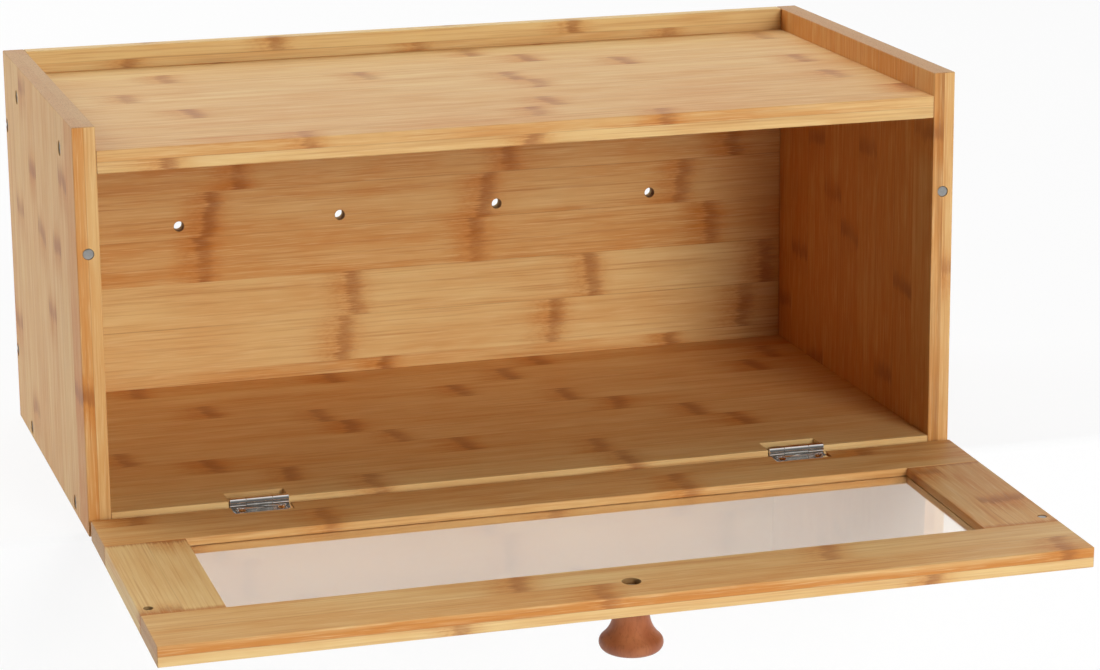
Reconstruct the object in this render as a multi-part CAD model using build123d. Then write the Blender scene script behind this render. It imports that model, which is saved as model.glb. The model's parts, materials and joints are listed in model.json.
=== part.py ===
from build123d import *
import os

# Driving dimensions in millimetres. X runs along the front from left to right, Y from front to back, Z up.
# The origin is the centre of the base.

# Case
WIDTH = 400.0  # over both side panels
DEPTH = 204.0  # of a side panel, from its front edge to its back edge
HEIGHT = 179.5  # of a side panel
BOARD = 10.0  # thickness of the side panels, the shelf and the bottom
BACK_BOARD = 7.0
GALLERY_RISE = 10.5  # the sides and the back stand this far above the shelf
EASE = 0.5  # rounding of every board's edges

# Vent holes in the back panel
VENT_DIAMETER = 5.0
VENT_SPACING = 80.0
VENT_COUNT = 4

# Countersunk screws through the side panels
SCREW_DIAMETER = 3.5
SCREW_LENGTH = 32.0
SCREW_HEAD_DIAMETER = 6.8
SCREW_HEAD_RIM = 0.3  # straight edge of the head, above its cone
SCREW_SINK = 0.5  # the head lies this far below the panel's face
SCREW_TIP = 4.0  # length of the pointed end
SCREW_CLEARANCE = 0.2  # round the shank, in the side panel
SCREW_RECESS = (0.9, 3.8, 1.5)  # width, span and depth of the cross
FRONT_SCREW_INSET = 36.5  # from the front edge to the front screw of a shelf or bottom pair
SCREW_PAIR_SPACING = 127.0
BACK_SCREW_HEIGHTS = (34.0, 144.0)

# Disc magnets. Those of the door sit deeper in their holes than those of the case.
CASE_MAGNET_DIAMETER = 5.0
DOOR_MAGNET_DIAMETER = 4.0
MAGNET_LENGTH = 4.0
MAGNET_EASE = 0.4
CASE_MAGNET_SINK = 0.2
DOOR_MAGNET_SINK = {"left": 1.3, "right": 0.3}
MAGNET_HEIGHT = 124.8  # above the base, with the door closed

# Door
DOOR_WIDTH = 399.0
DOOR_HEIGHT = 155.0  # from the hinge edge to the far edge
DOOR_BOARD = 9.0
DOOR_DROP = 1.75  # degrees that the open door hangs below level
STILE_WIDTH = 35.0
HINGE_RAIL_WIDTH = 33.5
PULL_RAIL_WIDTH = 35.5
WINDOW_THICKNESS = 2.0
WINDOW_SETBACK = 3.5  # from the door's inner face to the pane
GROOVE_DEPTH = 5.0
GROOVE_END_GAP = 0.3
DOWEL_DIAMETER = 5.0
DOWEL_LENGTH = 20.0
DOWEL_GLUE_GAP = 0.5
DOWEL_OFFSETS = (10.0, 22.0)  # from a stile's inner edge

# Butt hinges. The pin's axis lies just behind the case's front plane and above the door's inner face.
HINGE_SPACING = 250.0
HINGE_LENGTH = 26.2
HINGE_REACH = 11.6  # from the pin's axis to a leaf's far edge
LEAF_THICKNESS = 0.7
KNUCKLE_RADIUS = 2.0
PIN_RADIUS = 1.0
PIN_CLEARANCE = 0.05  # round the pin, in the door leaf's knuckle
KNUCKLE_GAP = 0.15
MIDDLE_KNUCKLE = 11.6
NOTCH_CLEARANCE = 0.4  # from a knuckle to the other leaf
AXIS_BEHIND_FRONT = 0.4
AXIS_HEIGHT = 9.2
AXIS_TO_DOOR_FACE = 1.0
AXIS_TO_DOOR_EDGE = 3.5
POCKET_SIDE_GAP = 0.25
POCKET_END_GAP = 0.3
KNUCKLE_RELIEF = 0.7  # extra depth of the case pocket under the knuckles
LEAF_SCREW_OFFSET = 8.7  # from the hinge's middle, along the pin
LEAF_SCREW_REACH = 6.2  # from the pin's axis
LEAF_SCREW_DIAMETER = 2.0
LEAF_SCREW_HEAD_DIAMETER = 3.8
LEAF_SCREW_DOME = 0.35
LEAF_SCREW_LENGTH = 6.0
LEAF_SCREW_RECESS = (0.5, 2.2, 0.7)

# Knob, turned, with heights measured from the door's outer face
KNOB_INSET = 16.75  # from the door's far edge to the knob's axis
KNOB_BASE_RADIUS = 8.2
KNOB_NECK = (7.6, 4.2)  # radius and height
KNOB_FLARE = (12.1, 14.3)
KNOB_RIM = (13.4, 16.9)
KNOB_LIP = (11.4, 20.2)
KNOB_HEIGHT = 21.1
KNOB_SCREW_DIAMETER = 4.0
KNOB_SCREW_LENGTH = 16.0
KNOB_SCREW_HEAD_DIAMETER = 7.2
KNOB_SCREW_HEAD_HEIGHT = 2.4
KNOB_SCREW_RECESS = (1.0, 4.2, 1.5)
KNOB_SCREW_CLEARANCE = 0.2
KNOB_COUNTERBORE_DIAMETER = 8.0
KNOB_COUNTERBORE_DEPTH = 4.6

# Places worked out from the driving dimensions
FRONT_Y = -DEPTH / 2
BACK_Y = DEPTH / 2
BACK_FACE_Y = BACK_Y - BACK_BOARD
INSIDE_X = WIDTH / 2 - BOARD
SHELF_TOP_Z = HEIGHT - GALLERY_RISE
AXIS_Y = FRONT_Y + AXIS_BEHIND_FRONT
HINGE_LINE = Axis((0, AXIS_Y, AXIS_HEIGHT), (1, 0, 0))
DOOR_EDGE_Y = AXIS_Y - AXIS_TO_DOOR_EDGE
DOOR_TOP_Z = AXIS_HEIGHT - AXIS_TO_DOOR_FACE
DOOR_UNDER_Z = DOOR_TOP_Z - DOOR_BOARD
DOOR_MID_Z = DOOR_TOP_Z - DOOR_BOARD / 2
DOOR_FAR_Y = DOOR_EDGE_Y - DOOR_HEIGHT
WINDOW_NEAR_Y = DOOR_EDGE_Y - HINGE_RAIL_WIDTH
WINDOW_FAR_Y = DOOR_FAR_Y + PULL_RAIL_WIDTH
WINDOW_X = DOOR_WIDTH / 2 - STILE_WIDTH
KNOB_Y = DOOR_FAR_Y + KNOB_INSET
MAGNET_X = WIDTH / 2 - BOARD / 2
DOOR_MAGNET_Y = AXIS_Y - (MAGNET_HEIGHT - AXIS_HEIGHT)
LEAF_BOTTOM_Z = AXIS_HEIGHT - KNUCKLE_RADIUS
SIDES = {"left": -1, "right": 1}


def block(x_from, x_to, y_from, y_to, z_from, z_to):
    """A plain box between two corners."""
    size = Box(abs(x_to - x_from), abs(y_to - y_from), abs(z_to - z_from))
    return Pos((x_from + x_to) / 2, (y_from + y_to) / 2, (z_from + z_to) / 2) * size


def board(*corners):
    """A board with all its edges eased."""
    blank = block(*corners)
    return fillet(blank.edges(), EASE)


def rod(radius, start, direction, length):
    """A straight round rod or hole that runs from a point along a direction."""
    return Plane(origin=start, z_dir=direction) * extrude(Circle(radius), length)


def turned(*outline):
    """A solid turned about Z from curves that run round its half section."""
    section = make_face([edge for curve in outline for edge in curve.edges()])
    return revolve(Plane.XZ * section, Axis.Z)


def group(solids):
    """Several separate solids kept as one node."""
    return Compound(solids)


# Screws and magnets, made pointing down from the origin and then set in place


def cross_recess(width, span, depth):
    """The cross-shaped driver recess of a screw head, from clear above the head's top to a depth below it."""
    arm = Box(span, width, 2 * depth)
    return arm + Rot(0, 0, 90) * arm


def panel_screw():
    """The wood screw that holds a side panel to the board behind it, its flat head's top at the origin."""
    radius = SCREW_DIAMETER / 2
    head = SCREW_HEAD_DIAMETER / 2
    points = [
        (0, 0),
        (head, 0),
        (head, -SCREW_HEAD_RIM),
        (radius, -SCREW_HEAD_RIM - head + radius),
        (radius, SCREW_TIP - SCREW_LENGTH),
        (0, -SCREW_LENGTH),
    ]
    return turned(Polyline(*points, close=True)) - cross_recess(*SCREW_RECESS)


def panel_screw_hole():
    """The countersunk clearance hole for a panel screw, from the panel's face down."""
    radius = SCREW_DIAMETER / 2 + SCREW_CLEARANCE
    head = SCREW_HEAD_DIAMETER / 2
    rim_depth = SCREW_SINK + SCREW_HEAD_RIM
    points = [
        (0, 0),
        (head, 0),
        (head, -rim_depth),
        (radius, -rim_depth - head + radius),
        (radius, -BOARD),
        (0, -BOARD),
    ]
    return turned(Polyline(*points, close=True))


def panel_screw_thread_hole():
    """The hole that a panel screw cuts for itself past the side panel, from the panel's face down."""
    radius = SCREW_DIAMETER / 2
    straight_end = SCREW_SINK + SCREW_LENGTH - SCREW_TIP
    points = [
        (0, -BOARD),
        (radius, -BOARD),
        (radius, -straight_end),
        (0, -straight_end - SCREW_TIP),
    ]
    return turned(Polyline(*points, close=True))


def leaf_screw_cone():
    """The countersunk, shanked and pointed part of a leaf screw's outline, from the leaf's top down."""
    radius = LEAF_SCREW_DIAMETER / 2
    return [
        (LEAF_SCREW_HEAD_DIAMETER / 2, 0),
        (radius, -LEAF_THICKNESS),
        (radius, -LEAF_SCREW_LENGTH + radius),
        (0, -LEAF_SCREW_LENGTH),
    ]


def leaf_screw():
    """The small screw of a hinge leaf, with its shallow dome above the leaf's top at the origin."""
    crown = (0, LEAF_SCREW_DOME)
    cone = leaf_screw_cone()
    dome = TangentArc(crown, cone[0], tangent=(1, 0))
    recess = Pos(0, 0, LEAF_SCREW_DOME) * cross_recess(*LEAF_SCREW_RECESS)
    return turned(dome, Polyline(*cone, crown)) - recess


def leaf_screw_hole():
    """The hole that a leaf screw fills in the leaf and in the wood, from the leaf's top down."""
    return turned(Polyline((0, 0), *leaf_screw_cone(), close=True))


def magnet(diameter):
    """A disc magnet whose eased face is at the origin."""
    disc = Pos(0, 0, -MAGNET_LENGTH / 2) * Cylinder(diameter / 2, MAGNET_LENGTH)
    return fillet(disc.edges().sort_by(Axis.Z)[-1], MAGNET_EASE)


# Places of the fasteners


def facing(x, y, z, direction):
    """The place of a fastener or hole whose top is at a point and faces a direction."""
    return Plane(origin=(x, y, z), z_dir=direction).location


def panel_screw_points():
    """Where the screws of a side panel lie, as Y and Z."""
    pair = (FRONT_Y + FRONT_SCREW_INSET, FRONT_Y + FRONT_SCREW_INSET + SCREW_PAIR_SPACING)
    shelf = [(y, SHELF_TOP_Z - BOARD / 2) for y in pair]
    bottom = [(y, BOARD / 2) for y in pair]
    back = [(BACK_Y - BACK_BOARD / 2, z) for z in BACK_SCREW_HEIGHTS]
    return shelf + back + bottom


def panel_face_places(sign, sink=0.0):
    """The places of a side panel's screws on its outer face, or sunk below it."""
    x = sign * (WIDTH / 2 - sink)
    return [facing(x, y, z, (sign, 0, 0)) for y, z in panel_screw_points()]


def drilled_for_panel_screws(blank):
    """A board with the thread holes of the panel screws that reach it from both ends."""
    hole = panel_screw_thread_hole()
    for sign in SIDES.values():
        for place in panel_face_places(sign):
            blank -= place * hole
    return blank


def leaf_screw_places(hinge_x, sign):
    """The places of a hinge leaf's screws. The sign is 1 for the case leaf and -1 for the door leaf."""
    y = AXIS_Y + sign * LEAF_SCREW_REACH
    z = LEAF_BOTTOM_Z + LEAF_THICKNESS
    return [Pos(hinge_x + offset, y, z) for offset in (-LEAF_SCREW_OFFSET, LEAF_SCREW_OFFSET)]


# Case


def side_panel(sign):
    """A side panel with its six screw holes and the magnet's hole in its front edge."""
    panel = board(sign * INSIDE_X, sign * WIDTH / 2, FRONT_Y, BACK_Y, 0, HEIGHT)
    hole = panel_screw_hole()
    for place in panel_face_places(sign):
        panel -= place * hole
    magnet_depth = CASE_MAGNET_SINK + MAGNET_LENGTH
    start = (sign * MAGNET_X, FRONT_Y, MAGNET_HEIGHT)
    return panel - rod(CASE_MAGNET_DIAMETER / 2, start, (0, 1, 0), magnet_depth)


def back_panel():
    """The back panel, as tall as the sides, with its row of vent holes."""
    panel = board(-INSIDE_X, INSIDE_X, BACK_FACE_Y, BACK_Y, 0, HEIGHT)
    for index in range(VENT_COUNT):
        x = (index - (VENT_COUNT - 1) / 2) * VENT_SPACING
        panel -= rod(VENT_DIAMETER / 2, (x, BACK_FACE_Y, HEIGHT / 2), (0, 1, 0), BACK_BOARD)
    return drilled_for_panel_screws(panel)


def top_shelf():
    """The shelf that closes the compartment and carries things inside the gallery."""
    shelf = board(-INSIDE_X, INSIDE_X, FRONT_Y, BACK_FACE_Y, SHELF_TOP_Z - BOARD, SHELF_TOP_Z)
    return drilled_for_panel_screws(shelf)


def case_pocket(hinge_x):
    """The pocket for a case leaf, with a deeper trough under the knuckles at the front."""
    half = HINGE_LENGTH / 2 + POCKET_SIDE_GAP
    rear = AXIS_Y + HINGE_REACH + POCKET_END_GAP
    trough_rear = AXIS_Y + KNUCKLE_RADIUS + NOTCH_CLEARANCE
    floor = block(hinge_x - half, hinge_x + half, FRONT_Y, rear, LEAF_BOTTOM_Z, BOARD)
    trough_z = LEAF_BOTTOM_Z - KNUCKLE_RELIEF
    return floor + block(hinge_x - half, hinge_x + half, FRONT_Y, trough_rear, trough_z, BOARD)


def bottom_panel():
    """The bottom panel with a pocket for each hinge in its front edge."""
    panel = board(-INSIDE_X, INSIDE_X, FRONT_Y, BACK_FACE_Y, 0, BOARD)
    hole = leaf_screw_hole()
    for sign in SIDES.values():
        hinge_x = sign * HINGE_SPACING / 2
        panel -= case_pocket(hinge_x)
        for place in leaf_screw_places(hinge_x, 1):
            panel -= place * hole
    return drilled_for_panel_screws(panel)


def panel_screws(sign):
    """The six screws of one side panel."""
    screw = panel_screw()
    return group([place * screw for place in panel_face_places(sign, SCREW_SINK)])


def case_magnet(sign):
    """The magnet in the front edge of a side panel."""
    place = facing(sign * MAGNET_X, FRONT_Y + CASE_MAGNET_SINK, MAGNET_HEIGHT, (0, -1, 0))
    return place * magnet(CASE_MAGNET_DIAMETER)


# Hinges


def knuckle(hinge_x, x_from, x_to, bore):
    """One knuckle of a hinge between two distances from the hinge's middle."""
    start = (hinge_x + x_from, AXIS_Y, AXIS_HEIGHT)
    outside = rod(KNUCKLE_RADIUS, start, (1, 0, 0), x_to - x_from)
    return outside - rod(bore, start, (1, 0, 0), x_to - x_from)


def leaf(hinge_x, sign, spans, bore):
    """A hinge leaf with its knuckles over the given spans of the pin."""
    half = HINGE_LENGTH / 2
    notch = KNUCKLE_RADIUS + NOTCH_CLEARANCE
    y_notch = AXIS_Y + sign * notch
    y_far = AXIS_Y + sign * HINGE_REACH
    z_top = LEAF_BOTTOM_Z + LEAF_THICKNESS
    plate = block(hinge_x - half, hinge_x + half, y_notch, y_far, LEAF_BOTTOM_Z, z_top)
    pin_hole = rod(bore, (hinge_x - half, AXIS_Y, AXIS_HEIGHT), (1, 0, 0), HINGE_LENGTH)
    for x_from, x_to in spans:
        tab = block(hinge_x + x_from, hinge_x + x_to, AXIS_Y, y_notch, LEAF_BOTTOM_Z, z_top)
        plate += (tab - pin_hole) + knuckle(hinge_x, x_from, x_to, bore)
    hole = leaf_screw_hole()
    for place in leaf_screw_places(hinge_x, sign):
        plate -= place * hole
    return plate


def case_leaf(hinge_x):
    """The leaf in the bottom panel, with the two end knuckles."""
    inner = MIDDLE_KNUCKLE / 2 + KNUCKLE_GAP
    outer = HINGE_LENGTH / 2
    return leaf(hinge_x, 1, [(-outer, -inner), (inner, outer)], PIN_RADIUS)


def door_leaf(hinge_x):
    """The leaf in the door, with the middle knuckle that turns on the pin."""
    half = MIDDLE_KNUCKLE / 2
    return leaf(hinge_x, -1, [(-half, half)], PIN_RADIUS + PIN_CLEARANCE)


def hinge_pin(hinge_x):
    """The pin, held in the end knuckles."""
    return rod(PIN_RADIUS, (hinge_x - HINGE_LENGTH / 2, AXIS_Y, AXIS_HEIGHT), (1, 0, 0), HINGE_LENGTH)


def leaf_screws(hinge_x, sign):
    """The two screws of one hinge leaf."""
    screw = leaf_screw()
    return group([place * screw for place in leaf_screw_places(hinge_x, sign)])


# Door, made level and then let down by its drop


def window_groove():
    """The groove round the opening that holds the pane."""
    x = WINDOW_X + GROOVE_DEPTH
    top = DOOR_TOP_Z - WINDOW_SETBACK
    near = WINDOW_NEAR_Y + GROOVE_DEPTH
    far = WINDOW_FAR_Y - GROOVE_DEPTH
    return block(-x, x, near, far, top - WINDOW_THICKNESS, top)


def dowel_points():
    """Where the corner dowels cross the joints between the rails and the stiles, as X and Y."""
    offsets = [sign * (WINDOW_X + offset) for sign in SIDES.values() for offset in DOWEL_OFFSETS]
    return [(x, y) for x in offsets for y in (WINDOW_NEAR_Y, WINDOW_FAR_Y)]


def dowel_rod(x, y, reach):
    """A dowel, or a hole for one, that reaches equally far to both sides of a joint."""
    return rod(DOWEL_DIAMETER / 2, (x, y - reach, DOOR_MID_Z), (0, 1, 0), 2 * reach)


def drilled_for_dowels(blank):
    """A rail or stile with its share of the dowel holes."""
    for x, y in dowel_points():
        blank -= dowel_rod(x, y, DOWEL_LENGTH / 2 + DOWEL_GLUE_GAP)
    return blank


def corner_dowels():
    """The eight dowels of the four corner joints."""
    return group([dowel_rod(x, y, DOWEL_LENGTH / 2) for x, y in dowel_points()])


def hinge_rail():
    """The rail along the hinges, with a pocket for each door leaf."""
    rail = board(-DOOR_WIDTH / 2, DOOR_WIDTH / 2, WINDOW_NEAR_Y, DOOR_EDGE_Y, DOOR_UNDER_Z, DOOR_TOP_Z)
    half = HINGE_LENGTH / 2 + POCKET_SIDE_GAP
    pocket_far = AXIS_Y - HINGE_REACH - POCKET_END_GAP
    hole = leaf_screw_hole()
    for sign in SIDES.values():
        hinge_x = sign * HINGE_SPACING / 2
        rail -= block(hinge_x - half, hinge_x + half, pocket_far, DOOR_EDGE_Y, LEAF_BOTTOM_Z, DOOR_TOP_Z)
        for place in leaf_screw_places(hinge_x, -1):
            rail -= place * hole
    return drilled_for_dowels(rail - window_groove())


def pull_rail():
    """The rail along the far edge, with the counterbored hole of the knob's screw."""
    rail = board(-DOOR_WIDTH / 2, DOOR_WIDTH / 2, DOOR_FAR_Y, WINDOW_FAR_Y, DOOR_UNDER_Z, DOOR_TOP_Z)
    top = (0, KNOB_Y, DOOR_TOP_Z)
    rail -= rod(KNOB_COUNTERBORE_DIAMETER / 2, top, (0, 0, -1), KNOB_COUNTERBORE_DEPTH)
    rail -= rod(KNOB_SCREW_DIAMETER / 2 + KNOB_SCREW_CLEARANCE, top, (0, 0, -1), DOOR_BOARD)
    return drilled_for_dowels(rail - window_groove())


def stile(side):
    """A stile between the rails, with its magnet's hole."""
    sign = SIDES[side]
    x_outer = sign * DOOR_WIDTH / 2
    blank = board(sign * WINDOW_X, x_outer, WINDOW_FAR_Y, WINDOW_NEAR_Y, DOOR_UNDER_Z, DOOR_TOP_Z)
    depth = DOOR_MAGNET_SINK[side] + MAGNET_LENGTH
    start = (sign * MAGNET_X, DOOR_MAGNET_Y, DOOR_TOP_Z)
    blank -= rod(DOOR_MAGNET_DIAMETER / 2, start, (0, 0, -1), depth)
    return drilled_for_dowels(blank - window_groove())


def door_magnet(side):
    """The magnet in a stile, facing the one in the side panel when the door is closed."""
    z = DOOR_TOP_Z - DOOR_MAGNET_SINK[side]
    return Pos(SIDES[side] * MAGNET_X, DOOR_MAGNET_Y, z) * magnet(DOOR_MAGNET_DIAMETER)


def window_pane():
    """The clear pane, a little smaller than its groove."""
    x = WINDOW_X + GROOVE_DEPTH - GROOVE_END_GAP
    near = WINDOW_NEAR_Y + GROOVE_DEPTH - GROOVE_END_GAP
    far = WINDOW_FAR_Y - GROOVE_DEPTH + GROOVE_END_GAP
    top = DOOR_TOP_Z - WINDOW_SETBACK
    return block(-x, x, near, far, top - WINDOW_THICKNESS, top)


def knob():
    """The turned knob, hollow-necked with a rounded rim, bored for its screw."""
    neck = ThreePointArc((KNOB_BASE_RADIUS, 0), KNOB_NECK, KNOB_FLARE)
    rim = ThreePointArc(KNOB_FLARE, KNOB_RIM, KNOB_LIP)
    dome = TangentArc((0, KNOB_HEIGHT), KNOB_LIP, tangent=(1, 0))
    grip = KNOB_SCREW_LENGTH - DOOR_BOARD + KNOB_COUNTERBORE_DEPTH
    hole_radius = KNOB_SCREW_DIAMETER / 2
    bored_core = Polyline(
        (0, KNOB_HEIGHT),
        (0, grip),
        (hole_radius, grip),
        (hole_radius, 0),
        (KNOB_BASE_RADIUS, 0),
    )
    return facing(0, KNOB_Y, DOOR_UNDER_Z, (0, 0, -1)) * turned(neck, rim, dome, bored_core)


def knob_screw():
    """The pan-head screw that holds the knob, with its head in the counterbore."""
    head_radius = KNOB_SCREW_HEAD_DIAMETER / 2
    head = Pos(0, 0, KNOB_SCREW_HEAD_HEIGHT / 2) * Cylinder(head_radius, KNOB_SCREW_HEAD_HEIGHT)
    head = fillet(head.edges().sort_by(Axis.Z)[-1], KNOB_SCREW_HEAD_HEIGHT / 2)
    head -= Pos(0, 0, KNOB_SCREW_HEAD_HEIGHT) * cross_recess(*KNOB_SCREW_RECESS)
    shank = rod(KNOB_SCREW_DIAMETER / 2, (0, 0, 0), (0, 0, -1), KNOB_SCREW_LENGTH)
    return Pos(0, KNOB_Y, DOOR_TOP_Z - KNOB_COUNTERBORE_DEPTH) * (head + shank)


def case_nodes():
    """Every piece that stands still."""
    nodes = {
        "back_panel": back_panel(),
        "top_shelf": top_shelf(),
        "bottom_panel": bottom_panel(),
    }
    for side, sign in SIDES.items():
        hinge_x = sign * HINGE_SPACING / 2
        nodes[f"{side}_side_panel"] = side_panel(sign)
        nodes[f"{side}_panel_screws"] = panel_screws(sign)
        nodes[f"{side}_case_magnet"] = case_magnet(sign)
        nodes[f"{side}_hinge_case_leaf"] = case_leaf(hinge_x)
        nodes[f"{side}_hinge_case_screws"] = leaf_screws(hinge_x, 1)
        nodes[f"{side}_hinge_pin"] = hinge_pin(hinge_x)
    return nodes


def door_nodes():
    """Every piece that swings with the door, at the drop of the open door."""
    level = {
        "door_hinge_rail": hinge_rail(),
        "door_pull_rail": pull_rail(),
        "door_corner_dowels": corner_dowels(),
        "door_window": window_pane(),
        "door_knob": knob(),
        "door_knob_screw": knob_screw(),
    }
    for side, sign in SIDES.items():
        hinge_x = sign * HINGE_SPACING / 2
        level[f"door_{side}_stile"] = stile(side)
        level[f"{side}_door_magnet"] = door_magnet(side)
        level[f"{side}_hinge_door_leaf"] = door_leaf(hinge_x)
        level[f"{side}_hinge_door_screws"] = leaf_screws(hinge_x, -1)
    return {name: piece.rotate(HINGE_LINE, DOOR_DROP) for name, piece in level.items()}


os.makedirs("parts", exist_ok=True)
for node, shape in (case_nodes() | door_nodes()).items():
    export_step(shape, f"parts/{node}.step")
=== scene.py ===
"""The looks of a bamboo bread box with a drop-front window door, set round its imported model.

Sizes are in mm, but for the studio's, which are in metres. Places on the door are drawn with the door
level and measured from the hinges' axis, and then hung to where the open door rests.
"""

import json
import logging
import math
from dataclasses import dataclass
from enum import Enum

import bmesh
import bpy
import numpy as np
from mathutils import Euler, Matrix, Vector


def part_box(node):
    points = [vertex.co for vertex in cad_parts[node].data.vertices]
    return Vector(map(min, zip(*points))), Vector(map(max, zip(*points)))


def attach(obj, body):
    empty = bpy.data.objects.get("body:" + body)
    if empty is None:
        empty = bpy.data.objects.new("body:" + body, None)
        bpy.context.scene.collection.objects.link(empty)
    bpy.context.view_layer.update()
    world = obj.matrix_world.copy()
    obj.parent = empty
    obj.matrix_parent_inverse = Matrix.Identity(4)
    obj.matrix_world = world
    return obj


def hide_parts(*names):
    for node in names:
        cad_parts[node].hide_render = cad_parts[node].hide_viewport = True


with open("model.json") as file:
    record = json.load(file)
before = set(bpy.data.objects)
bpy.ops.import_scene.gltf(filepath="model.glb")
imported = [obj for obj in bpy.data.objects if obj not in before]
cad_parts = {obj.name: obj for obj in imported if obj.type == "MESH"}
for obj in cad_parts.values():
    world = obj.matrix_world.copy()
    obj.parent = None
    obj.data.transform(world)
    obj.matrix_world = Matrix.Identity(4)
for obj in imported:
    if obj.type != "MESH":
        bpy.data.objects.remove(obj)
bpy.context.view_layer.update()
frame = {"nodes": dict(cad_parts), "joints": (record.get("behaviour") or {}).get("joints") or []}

log = logging.getLogger("bread_box")
MM = 0.001  # metres in a millimetre
HINGE = frame["joints"][0]
HINGE_AXIS = np.array(HINGE["pos_m"]) / MM
DOOR_DROP = HINGE["range_deg"][1] - 90.0  # degrees that the open door hangs below level

Point = tuple[float, float]
Place = tuple[float, float, float]
Tree = bpy.types.NodeTree
Feed = float | tuple[float, ...] | bpy.types.NodeSocket | None


def linear(colour: str) -> tuple[float, float, float, float]:
    """Turn an sRGB hex colour into the linear colour that shaders take.

    Args:
        colour: The colour as "#RRGGBB".

    Returns:
        Red, green, blue and an alpha of 1.
    """
    srgb = np.array([int(colour[i : i + 2], 16) for i in (1, 3, 5)]) / 255
    channels = np.where(srgb <= 0.04045, srgb / 12.92, ((srgb + 0.055) / 1.055) ** 2.4)
    return (*(float(c) for c in channels), 1.0)


def add(
    tree: Tree,
    kind: str,
    *feeds: Feed,
    at: dict[int | str, Feed] | None = None,
    out: int | str = 0,
    **settings: object,
) -> bpy.types.NodeSocket:
    """Add a shader node with its settings and feed its inputs.

    Args:
        tree: The node tree that gets the node.
        kind: The node's type without its ShaderNode prefix and, for maths, its operation after a colon.
        feeds: What the first inputs take, in order: a value, another node's output, or None to skip one.
        at: What other inputs take, by their place or name.
        out: The output to return.
        settings: Properties of the node.

    Returns:
        The chosen output of the new node.
    """
    kind, _, operation = kind.partition(":")
    node = tree.nodes.new("ShaderNode" + kind)
    if operation:
        node.operation = operation
    for name, value in settings.items():
        setattr(node, name, value)
    for place, feed in [*enumerate(feeds), *(at or {}).items()]:
        if isinstance(feed, bpy.types.NodeSocket):
            tree.links.new(feed, node.inputs[place])
        elif feed is not None:
            node.inputs[place].default_value = feed
    return node.outputs[out]


def new_tree(name: str) -> tuple[bpy.types.Material, bpy.types.NodeTree]:
    """Make an empty node material.

    Args:
        name: The material's name.

    Returns:
        The material and its node tree.
    """
    material = bpy.data.materials.new(name)
    material.use_nodes = True
    material.node_tree.nodes.clear()
    return material, material.node_tree


def add_output(tree: Tree, shader: Feed) -> None:
    """End a material's tree with its surface shader."""
    node = tree.nodes.new("ShaderNodeOutputMaterial")
    tree.links.new(shader, node.inputs["Surface"])


def dress(node: str, material: bpy.types.Material) -> None:
    """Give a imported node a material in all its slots.

    Args:
        node: The node's name.
        material: The material.
    """
    piece = frame["nodes"][node]
    if not piece.material_slots:
        piece.data.materials.append(material)
    for slot in piece.material_slots:
        slot.material = material
    log.info("%s wears %s", node, material.name)


def box_mm(node: str) -> np.ndarray:
    """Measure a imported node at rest, as its lowest and highest corners."""
    return np.array(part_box(node)) / MM


# Surfaces, worked out as grids of points


def turned(outline: np.ndarray, turns: int) -> np.ndarray:
    """Turn a half section about Z: x and y are the radius times the angle's cosine and sine.

    Args:
        outline: Radius and height of each point of the half section.
        turns: How many parts the turn has.

    Returns:
        The points, as outline by turn by 3.
    """
    angles = np.linspace(0.0, 2 * np.pi, turns + 1)
    radius, height = outline[:, :1], outline[:, 1:]
    return np.stack([radius * np.cos(angles), radius * np.sin(angles), height + 0 * angles], -1)


def arc(start: Point, through: Point, end: Point, count: int) -> np.ndarray:
    """Walk the circle through three points: its centre is where the chords' bisectors cross.

    Args:
        start: The first point.
        through: A point on the way.
        end: The last point.
        count: How many points to give.

    Returns:
        The points, as count by 2.
    """
    a, b, c = (np.array(point, float) for point in (start, through, end))
    chords = np.stack([b - a, c - a])
    centre = a + np.linalg.solve(chords, (chords**2).sum(1) / 2)
    angles = np.unwrap([math.atan2(*(point - centre)[::-1]) for point in (a, b, c)])
    swept = np.linspace(angles[0], angles[2], count)
    return centre + np.hypot(*(a - centre)) * np.stack([np.cos(swept), np.sin(swept)], 1)


def weld(name: str, patches: list[np.ndarray], crease: float = 35.0) -> bpy.types.Object:
    """Join patches into one closed mesh, with its edges sharp past an angle.

    Each patch is a grid of points, and its cells become faces. Points that meet are merged, which
    also closes the poles, and the faces are turned outwards.

    Args:
        name: The object's name.
        patches: The grids, each rows by columns by 3, in mm.
        crease: The least angle of a sharp edge, in degrees.

    Returns:
        The object, in the scene.
    """
    points, faces, start = [], [], 0
    for patch in patches:
        rows, columns, _ = patch.shape
        index = start + np.arange(rows * columns).reshape(rows, columns)
        cells = np.stack([index[:-1, :-1], index[1:, :-1], index[1:, 1:], index[:-1, 1:]], -1)
        points.append(patch.reshape(-1, 3) * MM)
        faces.append(cells.reshape(-1, 4))
        start += rows * columns
    mesh = bpy.data.meshes.new(name)
    mesh.from_pydata(np.concatenate(points).tolist(), [], np.concatenate(faces).tolist())
    shape = bmesh.new()
    shape.from_mesh(mesh)
    bmesh.ops.remove_doubles(shape, verts=shape.verts, dist=0.002 * MM)
    bmesh.ops.recalc_face_normals(shape, faces=shape.faces)
    shape.to_mesh(mesh)
    shape.free()
    return shown(name, mesh, crease)


def shown(name: str, mesh: bpy.types.Mesh, crease: float) -> bpy.types.Object:
    """Put a mesh in the scene, smooth but for its sharp edges.

    Args:
        name: The object's name.
        mesh: The mesh, in metres.
        crease: The least angle of a sharp edge, in degrees.

    Returns:
        The object.
    """
    mesh.shade_smooth()
    mesh.set_sharp_from_angle(angle=math.radians(crease))
    made = bpy.data.objects.new(name, mesh)
    bpy.context.scene.collection.objects.link(made)
    return made


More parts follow.
